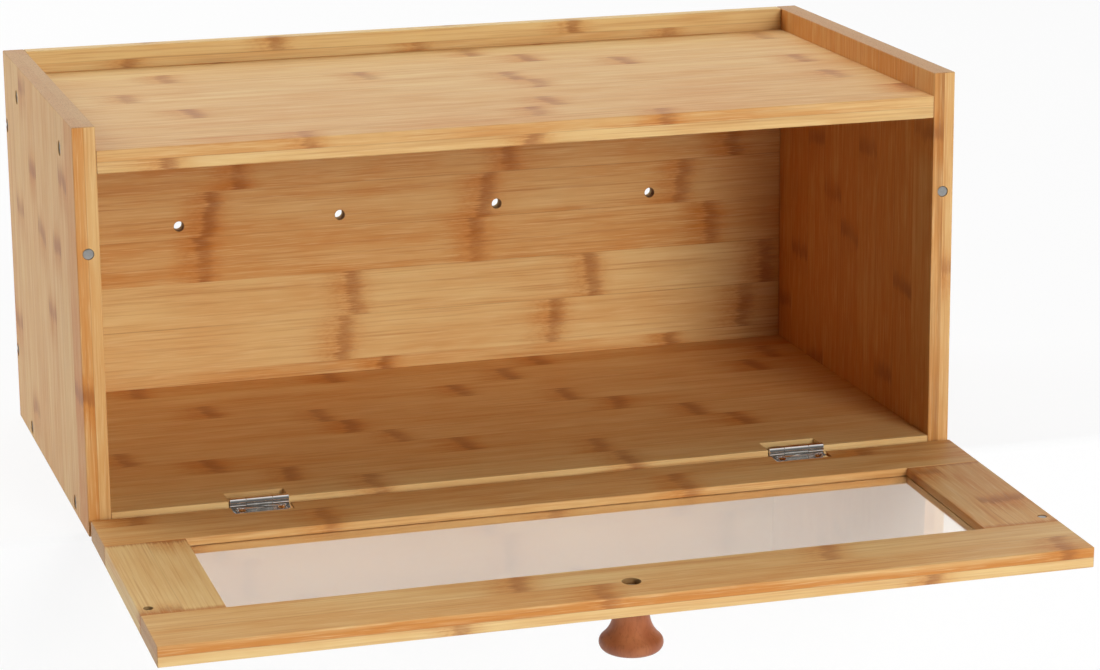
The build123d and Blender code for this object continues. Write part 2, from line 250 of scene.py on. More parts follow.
def stand_in(made: bpy.types.Object, node: str, body: str, material: bpy.types.Material) -> None:
    """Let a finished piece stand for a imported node.

    Args:
        made: The piece.
        node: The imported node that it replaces.
        body: The body that it rides on.
        material: Its material.
    """
    made.data.materials.clear()
    made.data.materials.append(material)
    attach(made, body)
    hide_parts(node)
    log.info("%s stands for %s, %d faces", made.name, node, len(made.data.polygons))


def hung(points: np.ndarray) -> np.ndarray:
    """Hang places of the level door: a turn about the hinges' axis by the angle of the open door.

    Args:
        points: Places measured from the hinges' axis.

    Returns:
        The places in the object's frame.
    """
    drop = math.radians(DOOR_DROP)
    turn = np.array([[1, 0, 0], [0, math.cos(drop), math.sin(drop)], [0, -math.sin(drop), math.cos(drop)]])
    return points @ turn + HINGE_AXIS


# Screws


@dataclass(frozen=True)
class CrossHead:
    """A turned screw with a cross recess, drawn from the middle of its head's top edge down."""

    head: float  # radius
    dome: float  # height of the crown over the head's edge
    recess: Place  # width, span and depth of the cross
    outline: tuple[Point, ...]  # radius and height, from the head's edge to the tip
    thread: Place  # pitch, depth and where it starts
    side_slope: float = 0.12  # width of a recess wall, seen from above
    end_slope: float = 0.35  # from an arm's end to the first grid line inside it

    def top(self) -> np.ndarray:
        """Work out the head's top: a square grid pushed out to a disc, less the cross.

        A grid line lies on each edge of the cross. Past the cross the squares turn to circles: a
        point moves towards its own direction times the greater of its two places. The crown's
        height falls with the square of the radius. An arm's depth is its full depth times two
        shares: the way in from its end, to the power of 0.6, and the way in from its side.

        Returns:
            The points, as rows by columns by 3.
        """
        width, span, depth = self.recess
        arm_end, ring = span / 2, self.head - span / 2
        marks = [0.0, width / 2 - self.side_slope, width / 2, arm_end - self.end_slope]
        marks = np.array([*marks, arm_end, arm_end + ring / 2, arm_end + 3 * ring / 4, self.head])
        half = np.interp(np.linspace(0, len(marks) - 1, 2 * len(marks) - 1), np.arange(len(marks)), marks)
        line = np.concatenate([-half[:0:-1], half])
        u, v = np.meshgrid(line, line, indexing="ij")
        reach = np.maximum(abs(u), abs(v))
        far = np.maximum(np.hypot(u, v), 1e-9)
        share = np.clip((reach - arm_end) / ring, 0, 1)
        pull = 1 - share + share * reach / far
        u, v = u * pull, v * pull

        def arm(along: np.ndarray, across: np.ndarray) -> np.ndarray:
            """Work out how deep one arm is.

            Args:
                along: The place along the arm.
                across: The place across the arm.

            Returns:
                The depth, 0 outside the arm.
            """
            ends = np.clip((arm_end - abs(along)) / (arm_end - width / 4), 0, 1) ** 0.6
            sides = np.clip((width / 2 - abs(across)) / self.side_slope, 0, 1)
            return depth * ends * sides

        crown = self.dome * (1 - np.hypot(u, v) ** 2 / self.head**2)
        return np.stack([u, v, crown - np.maximum(arm(u, v), arm(v, u))], -1)

    def patches(self) -> list[np.ndarray]:
        """Work out the top, and the side that follows the outline down all round the top's rim.

        The thread is cut into the shank by a triangle wave of the height over the pitch less the turn.

        Returns:
            The two patches.
        """
        top = self.top()
        rim = np.concatenate([top[0, :-1], top[:-1, -1], top[-1, :0:-1], top[:0:-1, 0], top[:1, 0]])
        ways = rim[:, :2] / np.hypot(*rim[:, :2].T)[:, None]
        turn = np.unwrap(np.arctan2(ways[:, 1], ways[:, 0])) / (2 * np.pi)
        outline = np.array(self.outline)
        pitch, depth, start = self.thread
        shank = np.arange(start, outline[-2, 1], -pitch / 6)
        widths = np.interp(-shank, -outline[-3:-1, 1], outline[-3:-1, 0])
        outline = np.concatenate([outline[:-2], np.stack([widths, shank], 1), outline[-2:]])
        wave = np.abs(((outline[:, 1:] / pitch - turn) % 1.0) - 0.5) * 2
        threaded = (outline[:, 1:] <= start) & (outline[:, :1] > 0)
        radius = outline[:, :1] - np.where(threaded, depth * wave, 0.0)
        side = np.stack([radius * ways[:, 0], radius * ways[:, 1], outline[:, 1:] + 0 * turn], -1)
        return [top, side]

    def placed(self, point: Place, facing: Place, spin: float) -> list[np.ndarray]:
        """Drive the screw in.

        Args:
            point: Where the middle of its head's edge goes.
            facing: The way that its head faces.
            spin: The angle that the cross is turned by, in degrees.

        Returns:
            The screw's patches in their place.
        """
        turn = Vector(facing).to_track_quat("Z", "Y").to_matrix()
        turn = turn @ Matrix.Rotation(math.radians(spin), 3, "Z")
        return [patch @ np.array(turn).T + np.array(point) for patch in self.patches()]


def pan_edge(flat: float, radius: float, fall: float, count: int = 7) -> tuple[Point, ...]:
    """Round a pan head's edge: a quarter of an ellipse from its flat top out and down.

    Args:
        flat: Radius of the flat top.
        radius: Radius of the head.
        fall: How far the rounded edge comes down.
        count: How many points to give.

    Returns:
        Radius and height of each point.
    """
    bend = np.linspace(0, np.pi / 2, count)
    radii = flat + (radius - flat) * np.sin(bend)
    return tuple((float(r), float(z)) for r, z in zip(radii, fall * (np.cos(bend) - 1)))


PANEL_SCREW = CrossHead(
    head=3.4,
    dome=0.0,
    recess=(0.9, 3.8, 1.5),
    outline=((3.4, 0.0), (3.4, -0.3), (1.75, -1.95), (1.75, -28.0), (0.0, -32.0)),
    thread=(1.5, 0.35, -8.0),
)
LEAF_SCREW = CrossHead(
    head=1.9,
    dome=0.35,
    recess=(0.5, 2.2, 0.7),
    outline=((1.9, 0.0), (1.0, -0.7), (1.0, -5.0), (0.0, -6.0)),
    thread=(0.8, 0.18, -1.2),
)
KNOB_SCREW = CrossHead(
    head=2.85,
    dome=0.0,
    recess=(1.0, 3.8, 1.5),
    outline=(*pan_edge(2.85, 3.6, 1.2), (3.6, -2.4), (2.0, -2.4), (2.0, -17.4), (0.0, -18.4)),
    thread=(1.4, 0.3, -4.0),
)


# Finishes


class Lay(Enum):
    """How a board lies: the turn, in degrees, that brings fibres, strips and plies to X, Y and Z."""

    FLAT = (0.0, 0.0, 0.0)  # fibres along X, strips side by side along Y
    BACK = (-90.0, 0.0, 0.0)  # fibres along X, strips one above the other
    SIDE = (0.0, 90.0, 0.0)  # upright fibres, strips side by side along Y
    STILE = (0.0, 0.0, -90.0)  # fibres along Y, strips side by side along X

    def turn(self, swing: float = 0.0) -> Place:
        """The turn from the object's axes to the board's, less a swing about X in degrees, in radians."""
        x, y, z = (math.radians(angle) for angle in self.value)
        return x - math.radians(swing), y, z


@dataclass(frozen=True)
class Strip:
    """One bamboo strip: its tone, from 0 for straw to 1 for amber, and where its nodes cross it."""

    tone: float
    nodes: tuple[float, ...]


def strips(*rows: tuple[float, ...]) -> tuple[Strip, ...]:
    """Make strips of rows that each give a tone and then the nodes' places along the fibres."""
    return tuple(Strip(row[0], row[1:]) for row in rows)


@dataclass(frozen=True)
class Bore:
    """A drilled hole, with its axis measured from the board's middle along its fibres and across them."""

    along: float
    across: float
    radius: float
    floor: float  # how far below the board's middle the drill stopped


@dataclass(frozen=True)
class Board:
    """One glued board, of two plies of strips."""

    node: str
    lay: Lay
    sawn: float  # how much of the first strip was sawn off
    strips: tuple[Strip, ...]
    bores: tuple[Bore, ...] = ()
    swings: bool = False
    rind_and_front_shade: float = 0.0  # how much darker the upper ply grows down to the glue line: partly a darker rind, partly painted shade that keeps a front face darker than the top

    def turn(self) -> Place:
        """The turn from the object's axes to the board's own, in radians."""
        return self.lay.turn(DOOR_DROP * self.swings)

    def pivot(self) -> np.ndarray:
        """The point that the turn goes round: the hinges' axis for the door's boards."""
        return HINGE_AXIS * self.swings

    def middle(self) -> np.ndarray:
        """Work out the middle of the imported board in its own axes: along, across and through."""
        centre = box_mm(self.node).mean(0) - self.pivot()
        return np.array(Euler(self.turn()).to_matrix()) @ centre

    def half_size(self) -> np.ndarray:
        """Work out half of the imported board's length, width and thickness, within 0.2 mm on the door."""
        low, high = box_mm(self.node)
        return np.abs(np.array(Euler(self.lay.turn()).to_matrix()) @ (high - low) / 2)


@dataclass(frozen=True)
class Spot:
    """A point of a board, as the nodes of its material see it."""

    place: Feed  # along, across and through the board, as one vector
    along: Feed
    across: Feed
    through: Feed
    ply: Feed  # 0 in the upper ply and 1 in the lower one
    within: Feed  # its strip, from 0 at one edge to 1 at the other
    seed: Feed  # the strip's own number


@dataclass(frozen=True)
class Bamboo:
    """Moso bamboo, split into strips, planed, glued side by side in two plies, sanded and lacquered satin.

    The strips differ in tone, which gives the boards their stripes. Each strip has a darker reddish
    band where the culm had a node, fine fibres along it, and vascular bundles that show as dots
    on its ends. The clear lacquer gives a soft broad sheen.
    """

    straw: str = "#E4C285"
    amber: str = "#CB853D"
    pale_fibre: str = "#EBCE98"
    rust: str = "#B46A2A"
    node_brown: str = "#84451F"
    glue_brown: str = "#8A5A30"
    # colour of drilled walls: partly scorch, partly painted shade inside the hole
    scorch_and_hole_shade: str = "#55361E"
    cut_end: str = "#B98F63"
    cut_bundle: str = "#7E5A38"
    strip_width: float = 22.4
    ply_shift: Point = (61.0, 13.5)  # of the lower ply against the upper one, along and across
    reach: float = 600.0  # fibre length that a node's place is coded over
    bundle: Point = (16.0, 0.55)  # length and width of the fine fibres, as of the patterns below
    rust_fibre: Point = (60.0, 0.9)
    fleck: Point = (2.6, 0.8)
    streak: Point = (130.0, 4.0)
    cloud: Point = (45.0, 16.0)
    waver: Point = (200.0, 3.2)
    ply_tone: float = -0.3  # the lower ply is paler
    mottle: float = 0.9  # how far the streaks and the clouds each move the tone
    halo_tone: float = 0.3
    rind_and_shade_top: float = 4.2  # height over the glue line where the dark of the rind and the painted shade starts
    rind_and_shade_full: float = 1.0
    ply_seed: float = 31.0  # sets the lower ply's patterns apart
    core_band: tuple[float, ...] = (-4.2, -0.6, 0.6, 7.5)  # where a node starts, is full, fades and ends
    halo_band: tuple[float, ...] = (-20.0, -2.0, 0.0, 14.0)
    lean: float = 3.0  # of a node over its strip's width, at most
    bow: float = 8.0
    wavering: float = 7.0
    fray: float = 9.0
    glue: float = 0.4  # width of the glue between strips, on each side
    dot: float = 0.9  # spacing of the vascular bundles, drawn as coarse as they need to show

    def strip_rows(self, tree: Tree, board: Board, across: Feed, ply: Feed) -> tuple[Feed, ...]:
        """Look up the strip that a point lies in.

        The row is the whole number of strip widths from the board's first edge, counted on again
        past the last, and a stepped ramp holds each row's three node places and its tone.

        Args:
            tree: The material's node tree.
            board: The board.
            across: The place across the strips.
            ply: 0 in the upper ply and 1 in the lower one.

        Returns:
            The row, the place within the strip from 0 to 1, the ramp's colour and its alpha.
        """
        first_edge = float(board.middle()[1] - board.half_size()[1]) - board.sawn
        shifted = add(tree, "Math:MULTIPLY_ADD", ply, self.ply_shift[1], across)
        rows = add(tree, "Math:SUBTRACT", shifted, first_edge)
        rows = add(tree, "Math:DIVIDE", rows, self.strip_width)
        row = add(tree, "Math:FLOOR", rows)
        within = add(tree, "Math:FRACT", rows)
        count = len(board.strips)
        wrapped = add(tree, "Math:FLOORED_MODULO", row, count)
        place = add(tree, "Math:ADD", wrapped, 0.5)
        place = add(tree, "Math:DIVIDE", place, count)
        ramp = add(tree, "ValToRGB", place).node
        ramp.color_ramp.interpolation = "CONSTANT"
        stops = ramp.color_ramp.elements
        for index, strip in enumerate(board.strips):
            stop = stops[0] if index == 0 else stops.new(index / count)
            coded = [0.5 + along / self.reach for along in strip.nodes]
            stop.color = (*coded, *[1.0] * (3 - len(coded)), strip.tone)
        stops.remove(stops[-1])  # the one that every new ramp has at its end
        return row, within, ramp.outputs[0], ramp.outputs[1]

    def past_node(self, tree: Tree, places: Feed, along: Feed) -> Feed:
        """Measure how far a point is past its strip's nearest node, less than 0 before it.

        Args:
            tree: The material's node tree.
            places: The strip's three node places, coded from 0 to 1.
            along: The place along the fibres.

        Returns:
            The signed distance to the nearest node.
        """
        span = (self.reach,) * 3
        places = add(tree, "VectorMath:MULTIPLY_ADD", places, span, (-self.reach / 2,) * 3)
        gaps = add(tree, "VectorMath:SUBTRACT", along, places)
        first, second, third = add(tree, "SeparateXYZ", gaps).node.outputs
        nearest = self.nearer(tree, first, second)
        return self.nearer(tree, nearest, third)

    def nearer(self, tree: Tree, first: Feed, second: Feed) -> Feed:
        """Pick the one of two signed distances that is closer to 0.

        Args:
            tree: The material's node tree.
            first: One distance.
            second: The other distance.

        Returns:
            The distance that was picked.
        """
        sizes = [add(tree, "Math:ABSOLUTE", gap) for gap in (first, second)]
        choice = add(tree, "Math:GREATER_THAN", sizes[0], sizes[1])
        return add(tree, "Mix", choice, at={2: first, 3: second}, data_type="FLOAT")

    def fibres(self, tree: Tree, spot: Spot, length: float, width: float) -> Feed:
        """Make a pattern of fibres: noise drawn out along the board, different in each strip.

        The noise's fourth place is the strip's number, stretched and shifted so that no two patterns
        of a strip, or of its neighbours, are alike.

        Args:
            tree: The material's node tree.
            spot: The point.
            length: The fibres' length.
            width: The fibres' width.

        Returns:
            The noise, from 0 to 1 with most of it near 0.5.
        """
        drawn = add(tree, "VectorMath:MULTIPLY", spot.place, (1 / length, 1 / width, 1 / width))
        shift = add(tree, "Math:MULTIPLY_ADD", spot.seed, 5.3, length * 0.37 + width)
        feeds = {"Scale": 1.0, "Detail": 2.0, "Roughness": 0.55}
        return add(tree, "TexNoise", drawn, shift, at=feeds, noise_dimensions="4D")

    def bored(self, tree: Tree, board: Board, spot: Spot) -> Feed:
        """Mask the walls and floors of a board's drilled holes.

        Args:
            tree: The material's node tree.
            board: The board.
            spot: The point.

        Returns:
            1 within a hole's radius and above its floor, and 0 past 0.2 mm from them.
        """
        middle = board.middle()
        place = add(tree, "CombineXYZ", spot.along, spot.across)
        nearest = self.reach  # past any hole
        for bore in board.bores:
            axis = (float(middle[0]) + bore.along, float(middle[1]) + bore.across, 0.0)
            gap = add(tree, "VectorMath:DISTANCE", place, axis, out="Value")
            gap = add(tree, "Math:SUBTRACT", gap, bore.radius)
            below = add(tree, "Math:SUBTRACT", float(middle[2]) - bore.floor, spot.through)
            gap = add(tree, "Math:MAXIMUM", gap, below)
            nearest = add(tree, "Math:MINIMUM", gap, nearest)
        return add(tree, "MapRange", nearest, 0.2, 0.02, 0.0, 1.0)

    def over(self, tree: Tree, colour: Feed, top: str | Feed, share: Feed) -> Feed:
        """Lay a second colour over the first by a share from 0 to 1."""
        top = linear(top) if isinstance(top, str) else top
        return add(tree, "Mix", share, at={6: colour, 7: top}, out=2, data_type="RGBA")

    def material(self, board: Board) -> bpy.types.Material:
        """Make a board's material.

        Args:
            board: The board.

        Returns:
            The material.
        """
        material, tree = new_tree(f"lacquered_bamboo_{board.node}")
        glue_line = float(board.middle()[2])
        here = add(tree, "TexCoord", out="Object")
        from_pivot = add(tree, "VectorMath:SUBTRACT", here, tuple(board.pivot() * MM))
        place = add(tree, "Mapping", from_pivot, (0.0,) * 3, board.turn(), (1 / MM,) * 3)
        along, across, through = add(tree, "SeparateXYZ", place).node.outputs
        height = add(tree, "Math:SUBTRACT", through, glue_line)
        ply = add(tree, "Math:LESS_THAN", through, glue_line)
        row, within, places, tone = self.strip_rows(tree, board, across, ply)
        seed = add(tree, "Math:MULTIPLY_ADD", ply, self.ply_seed, row)
        spot = Spot(place, along, across, through, ply, within, seed)
        sizes = (self.bundle, self.streak, self.cloud, self.rust_fibre, self.fleck)
        fine, streak, cloud, rusty, flecks = (self.fibres(tree, spot, *size) for size in sizes)
        core, halo = self.nodes(tree, spot, places, fine, cloud)

        # Tone: the strip's own, darker at its nodes, with slow streaks and clouds. Each pattern is about
        # 0.5 on average, so half of what the two add is taken off again.
        shares = ((self.ply_tone, ply), (self.mottle, streak), (self.mottle, cloud), (self.halo_tone, halo))
        for share, part in shares:
            tone = add(tree, "Math:MULTIPLY_ADD", part, share, tone)
        # The upper ply darkens down to the glue line: partly its rind, partly painted shade that keeps the
        # front face darker than the top.
        if board.rind_and_front_shade:
            rind_and_shade = add(tree, "MapRange", height, self.rind_and_shade_top, self.rind_and_shade_full, 0.0, board.rind_and_front_shade)
            upper = add(tree, "Math:SUBTRACT", 1.0, ply)
            tone = add(tree, "Math:MULTIPLY_ADD", rind_and_shade, upper, tone)
        tone = add(tree, "Math:SUBTRACT", tone, self.mottle, use_clamp=True)

        # Fibres: paler tissue between the bundles, some rusty bundles, and rusty flecks near the nodes.
        pale = add(tree, "MapRange", fine, 0.5, 0.22, 0.0, 0.55)
        rusty = add(tree, "MapRange", rusty, 0.5, 0.78, 0.0, 0.55)
        flecks = add(tree, "MapRange", flecks, 0.42, 0.66, 0.05, 0.35)
        flecks = add(tree, "Math:MULTIPLY", flecks, halo)
        core = add(tree, "Math:MULTIPLY", core, 0.5)
        seam = self.seams(tree, within, height, streak)

        colour = linear(self.straw)
        tops = (self.amber, self.pale_fibre, self.rust, self.rust, self.node_brown, self.glue_brown)
        for top, share in zip(tops, (tone, pale, rusty, flecks, core, seam)):
            colour = self.over(tree, colour, top, share)
        colour = self.ends(tree, board, spot, fine, colour)

        # Drilled walls are raw and matt, and painted darker: partly scorch from the drill, partly painted
        # shade inside the hole.
        bored = self.bored(tree, board, spot)
        colour = self.over(tree, colour, self.scorch_and_hole_shade, add(tree, "Math:MULTIPLY", bored, 0.6))

        # Satin lacquer that follows the fibres, sinks at the glue and stands a little proud at the nodes.
        gloss = add(tree, "MapRange", fine, 0.25, 0.75, 0.5, 0.62)
        gloss = add(tree, "Math:MULTIPLY_ADD", bored, 0.45, gloss, use_clamp=True)
        relief = add(tree, "Math:MULTIPLY_ADD", seam, -1.5, fine)
        relief = add(tree, "Math:MULTIPLY_ADD", core, 0.5, relief)
        bump = add(tree, "Bump", at={"Strength": 0.35, "Distance": 0.06 * MM, "Height": relief})
        lacquer = {"Roughness": gloss, "Normal": bump, "Coat Weight": 0.04, "Coat Roughness": 0.3}
        add_output(tree, add(tree, "BsdfPrincipled", at={"Base Color": colour, **lacquer}))
        return material

    def nodes(self, tree: Tree, spot: Spot, places: Feed, fine: Feed, cloud: Feed) -> tuple[Feed, Feed]:
        """Draw each node as a wavering band across its strip, frayed along the fibres.

        The band leans and bows by a chance amount in each strip, and sharpens towards the far side.

        Args:
            tree: The material's node tree.
            spot: The point.
            places: Its strip's three node places, coded from 0 to 1.
            fine: The pattern of fine fibres.
            cloud: The pattern of clouds, which the band is faint or strong by.

        Returns:
            How dark the band is, and how far its wider halo reaches, each from 0 to 1.
        """
        chance = add(tree, "TexWhiteNoise", None, spot.seed, out="Color", noise_dimensions="1D")
        lean, bow, _ = add(tree, "SeparateXYZ", chance).node.outputs
        lean = add(tree, "MapRange", lean, 0.0, 1.0, -self.lean, self.lean)
        bow = add(tree, "MapRange", bow, 0.0, 1.0, -self.bow, self.bow)
        centred = add(tree, "Math:SUBTRACT", spot.within, 0.5)
        squared = add(tree, "Math:MULTIPLY", centred, centred)
        wave = add(tree, "Math:SUBTRACT", self.fibres(tree, spot, *self.waver), 0.5)
        moves = ((centred, lean), (squared, bow), (spot.ply, self.ply_shift[0]), (wave, self.wavering))
        along = spot.along
        for part, share in moves:
            along = add(tree, "Math:MULTIPLY_ADD", part, share, along)
        frayed = add(tree, "Math:SUBTRACT", fine, 0.5)
        gap = self.past_node(tree, places, along)
        frayed = add(tree, "Math:MULTIPLY_ADD", frayed, self.fray, gap)

        def band(start: float, full: float, fade: float, end: float) -> Feed:
            """Rise smoothly and fall again, by the distance past the node.

            Args:
                start: Where the band starts.
                full: Where it is full.
                fade: Where it starts to fade.
                end: Where it ends.

            Returns:
                The band, from 0 to 1.
            """
            rise = add(tree, "MapRange", frayed, start, full, 0.0, 1.0, interpolation_type="SMOOTHSTEP")
            fall = add(tree, "MapRange", frayed, end, fade, 0.0, 1.0, interpolation_type="SMOOTHSTEP")
            return add(tree, "Math:MULTIPLY", rise, fall)

        strength = add(tree, "MapRange", cloud, 0.35, 0.62, 0.45, 1.0)
        return add(tree, "Math:MULTIPLY", band(*self.core_band), strength), band(*self.halo_band)

    def seams(self, tree: Tree, within: Feed, height: Feed, streak: Feed) -> Feed:
        """Draw the thin brown glue lines, here and there between strips and faintly between the plies.

        Args:
            tree: The material's node tree.
            within: The place within the strip, from 0 to 1.
            height: The place above the glue line between the plies.
            streak: The pattern of slow streaks.

        Returns:
            How much glue shows, from 0 to 1.
        """
        centred = add(tree, "Math:SUBTRACT", within, 0.5)
        edge = add(tree, "Math:ABSOLUTE", centred)
        edge = add(tree, "MapRange", edge, 0.5 - self.glue / self.strip_width, 0.5, 0.0, 1.0)
        patchy = add(tree, "MapRange", streak, 0.45, 0.65, 0.0, 0.5)
        seam = add(tree, "Math:MULTIPLY", edge, patchy)
        layer = add(tree, "Math:ABSOLUTE", height)
        layer = add(tree, "MapRange", layer, 0.2, 0.05, 0.0, 0.3)
        return add(tree, "Math:MAXIMUM", seam, layer)

    def ends(self, tree: Tree, board: Board, spot: Spot, fine: Feed, colour: Feed) -> Feed:
        """Finish the board's ends: vascular bundles as dots on the cut, and lacquer that soaks in round it.

        Args:
            tree: The material's node tree.
            board: The board.
            spot: The point.
            fine: The pattern of fine fibres.
            colour: The board's colour so far.

        Returns:
            The colour with the ends.
        """
        middle, half_length = float(board.middle()[0]), float(board.half_size()[0])
        end = add(tree, "Math:ABSOLUTE", add(tree, "Math:SUBTRACT", spot.along, middle))
        # Lacquer soaks in further, and less evenly, at the stiles' ends, where they meet the rails.
        frayed, depth = (5.0, 3.2) if board.lay is Lay.STILE else (1.0, 0.8)
        soaked = add(tree, "Math:MULTIPLY_ADD", fine, frayed, end)
        soaked = add(tree, "MapRange", soaked, half_length - depth + 2.0, half_length + 1.6, 0.0, 0.7)
        colour = self.over(tree, colour, self.rust, soaked)
        cut = add(tree, "MapRange", end, half_length - 0.45, half_length - 0.1, 0.0, 0.8)
        dots = add(tree, "VectorMath:MULTIPLY", spot.place, (0.02, 1 / self.dot, 1 / self.dot))
        dots = add(tree, "TexVoronoi", dots, at={"Scale": 1.0, "Randomness": 0.8})
        dots = add(tree, "MapRange", dots, 0.34, 0.2, 0.0, 0.8)
        section = self.over(tree, linear(self.cut_end), self.cut_bundle, dots)
        return self.over(tree, colour, section, cut)


@dataclass(frozen=True)
class ClearAcrylic:
    """Cast acrylic sheet with polished faces, clear with a faint warm tint. Lamps shine through it."""

    tint: str = "#F2E9DF"
    roughness: float = 0.02
    ior: float = 1.49
    haze: float = 9.0  # patches in a metre where wiping has left the faces up to three times as rough

    def material(self) -> bpy.types.Material:
        """Make the pane's material.

        Returns:
            The material.
        """
        material, tree = new_tree("cast_acrylic")
        here = add(tree, "TexCoord", out="Object")
        haze = add(tree, "TexNoise", here, at={"Scale": self.haze, "Detail": 3.0})
        rough = add(tree, "MapRange", haze, 0.3, 0.7, self.roughness, self.roughness * 3)
        sheet = {"Roughness": rough, "IOR": self.ior, "Transmission Weight": 1.0}
        solid = add(tree, "BsdfPrincipled", at={"Base Color": linear(self.tint), **sheet})
        clear = add(tree, "BsdfTransparent", linear(self.tint))
        path = add(tree, "LightPath").node.outputs
        lamps = add(tree, "Math:MAXIMUM", path["Is Shadow Ray"], path["Is Diffuse Ray"])
        add_output(tree, add(tree, "MixShader", lamps, solid, clear))
        return material


@dataclass(frozen=True)
class Metal:
    """A plated metal: its colours, clean and smudged, and the fine scratches that break its gloss up."""

    name: str
    colour: str
    smudge: str
    roughness: float
    scratch: float  # how much rougher a scratch is
    grain: float  # between scratches
    stretch: float = 0.12  # of the scratches' pattern along X, against its other ways
    cloud: float = 4.0  # size of the smudges

    def material(self) -> bpy.types.Material:
        """Make the metal's material.

        Returns:
            The material.
        """
        material, tree = new_tree(self.name)
        here = add(tree, "TexCoord", out="Object")
        drawn = add(tree, "Mapping", here, (0.0,) * 3, (0.0,) * 3, (self.stretch / MM, 1 / MM, 1 / MM))
        fine = add(tree, "TexNoise", drawn, at={"Scale": 1 / self.grain, "Detail": 3.0})
        cloud = add(tree, "TexNoise", here, at={"Scale": 1 / self.cloud / MM, "Detail": 2.0})
        mix = {"data_type": "RGBA", "out": 2}
        smudged = add(tree, "MapRange", cloud, 0.4, 0.7, 0.0, 0.6)
        colour = add(tree, "Mix", smudged, at={6: linear(self.colour), 7: linear(self.smudge)}, **mix)
        rough = add(tree, "MapRange", fine, 0.3, 0.7, self.roughness, self.roughness + self.scratch)
        bump = add(tree, "Bump", at={"Strength": 0.08, "Distance": 0.006 * MM, "Height": fine})
        finish = {"Base Color": colour, "Metallic": 1.0, "Roughness": rough, "Normal": bump}
        add_output(tree, add(tree, "BsdfPrincipled", at=finish))
        return material


# Bright nickel plated on pressed steel: a mirror, banded by the pale studio, the darker front and the wood.
NICKEL = Metal("bright_nickel_plate", "#E6E3DF", "#CFCBC5", roughness=0.06, scratch=0.05, grain=0.25)
# Zinc plated on cold-headed steel: grey, with a dull sheen that shows no clear reflection.
ZINC = Metal("zinc_plate", "#A6A6A4", "#8C8B88", roughness=0.34, scratch=0.12, grain=0.3)
# Nickel plated on a sintered disc, scuffed: a grey spot with a soft gleam.
MAGNET = Metal("plated_magnet", "#B4B3B0", "#8F8E8B", roughness=0.3, scratch=0.15, grain=0.3)


@dataclass(frozen=True)
class StainedWood:
    """Close-grained wood turned on a lathe, wiped with a reddish-brown stain and lacquered."""

    stain: str = "#93512F"
    dark: str = "#5A2C18"
    light: str = "#AD6A42"
    pores: float = 1.1  # how many darker pores lie side by side in a millimetre
    stretch: float = 0.12  # of the pores' pattern along the knob's axis, against its other ways
    cloud: float = 12.5  # size of the patches where the stain is lighter

    def material(self) -> bpy.types.Material:
        """Make the knob's material.

        Returns:
            The material.
        """
        material, tree = new_tree("stained_turned_wood")
        here = add(tree, "TexCoord", out="Object")
        drawn = add(tree, "Mapping", here, (0.0,) * 3, (0.0,) * 3, (1 / MM, 1 / MM, self.stretch / MM))
        grain = add(tree, "TexNoise", drawn, at={"Scale": self.pores, "Detail": 4.0, "Roughness": 0.6})
        cloud = add(tree, "TexNoise", here, at={"Scale": 1 / self.cloud / MM, "Detail": 2.0})
        mix = {"data_type": "RGBA", "out": 2}
        tone = add(tree, "MapRange", cloud, 0.35, 0.65)
        colour = add(tree, "Mix", tone, at={6: linear(self.stain), 7: linear(self.light)}, **mix)
        pores = add(tree, "MapRange", grain, 0.5, 0.75, 0.0, 0.45)
        colour = add(tree, "Mix", pores, at={6: colour, 7: linear(self.dark)}, **mix)
        rough = add(tree, "MapRange", grain, 0.3, 0.7, 0.42, 0.52)
        bump = add(tree, "Bump", at={"Strength": 0.3, "Distance": 0.05 * MM, "Height": grain})
        finish = {"Base Color": colour, "Roughness": rough, "Normal": bump}
        add_output(tree, add(tree, "BsdfPrincipled", at=finish))
        return material


# The strips, as seen: their tones and where their nodes lie along the fibres. Some tones also carry painted
# light and shade.


VENTS = tuple(Bore(x, 0.0, radius=2.5, floor=4.0) for x in (-120.0, -40.0, 40.0, 120.0))
CASE_BOARDS = (
    Board(
        "back_panel",
        Lay.BACK,
        sawn=6.1,
        strips=strips(
            (0.42, -20, 130), (0.24, -40, 69, 170), (0.2, -34, 89, 182), (0.62, -109, 28, 152),
            (0.5, -105, 34, 137), (0.6, -91, 46, 164), (0.6, -60, 80), (0.25, -142, 1, 129),
            (0.0, -71, 79),
        ),
        bores=VENTS,
    ),
    Board(
        "bottom_panel",
        Lay.FLAT,
        sawn=0.8,
        strips=strips(
            (0.25, -72, 46), (0.45, -104, 41), (0.6, -135, -17, 118), (0.45, -171, -43, 102),
            (0.55, -60, 72), (0.42, -70, 52), (0.55, -119, 5, 157), (0.5, 35, 172),
            (0.62, -146, -49, 57),
        ),
    ),
    Board(
        "top_shelf",
        Lay.FLAT,
        sawn=8.7,
        strips=strips(
            (0.6, -99, 62), (0.5, 10, 186), (0.48, 23), (0.42, -135, 168), (0.45, 31),
            (0.36, -158, 24, 168), (0.32, -41, 86), (0.3, -132, 44), (0.25, 22, 173),
        ),
    ),
    Board(
        "left_side_panel",
        Lay.SIDE,
        sawn=0.5,
        strips=strips(
            (0.78, 60), (0.45, 150), (0.4, 116), (0.5, 81), (0.42, 113), (0.5, 137), (0.45, 19, 171),
            (0.4, 110), (0.45, 50),
        ),
    ),
    # The right panel's strips are toned near amber: partly their own tone, partly painted shade of its inner
    # face, which the lamps hardly reach.
    Board(
        "right_side_panel",
        Lay.SIDE,
        sawn=0.0,
        strips=strips(
            (0.75, 150), (0.97, 73), (1.0, 25, 160), (0.97, 130), (1.0, 84), (1.0, 99), (0.97, 10, 123),
            (1.0, 60), (0.97, 30),
        ),
    ),
)
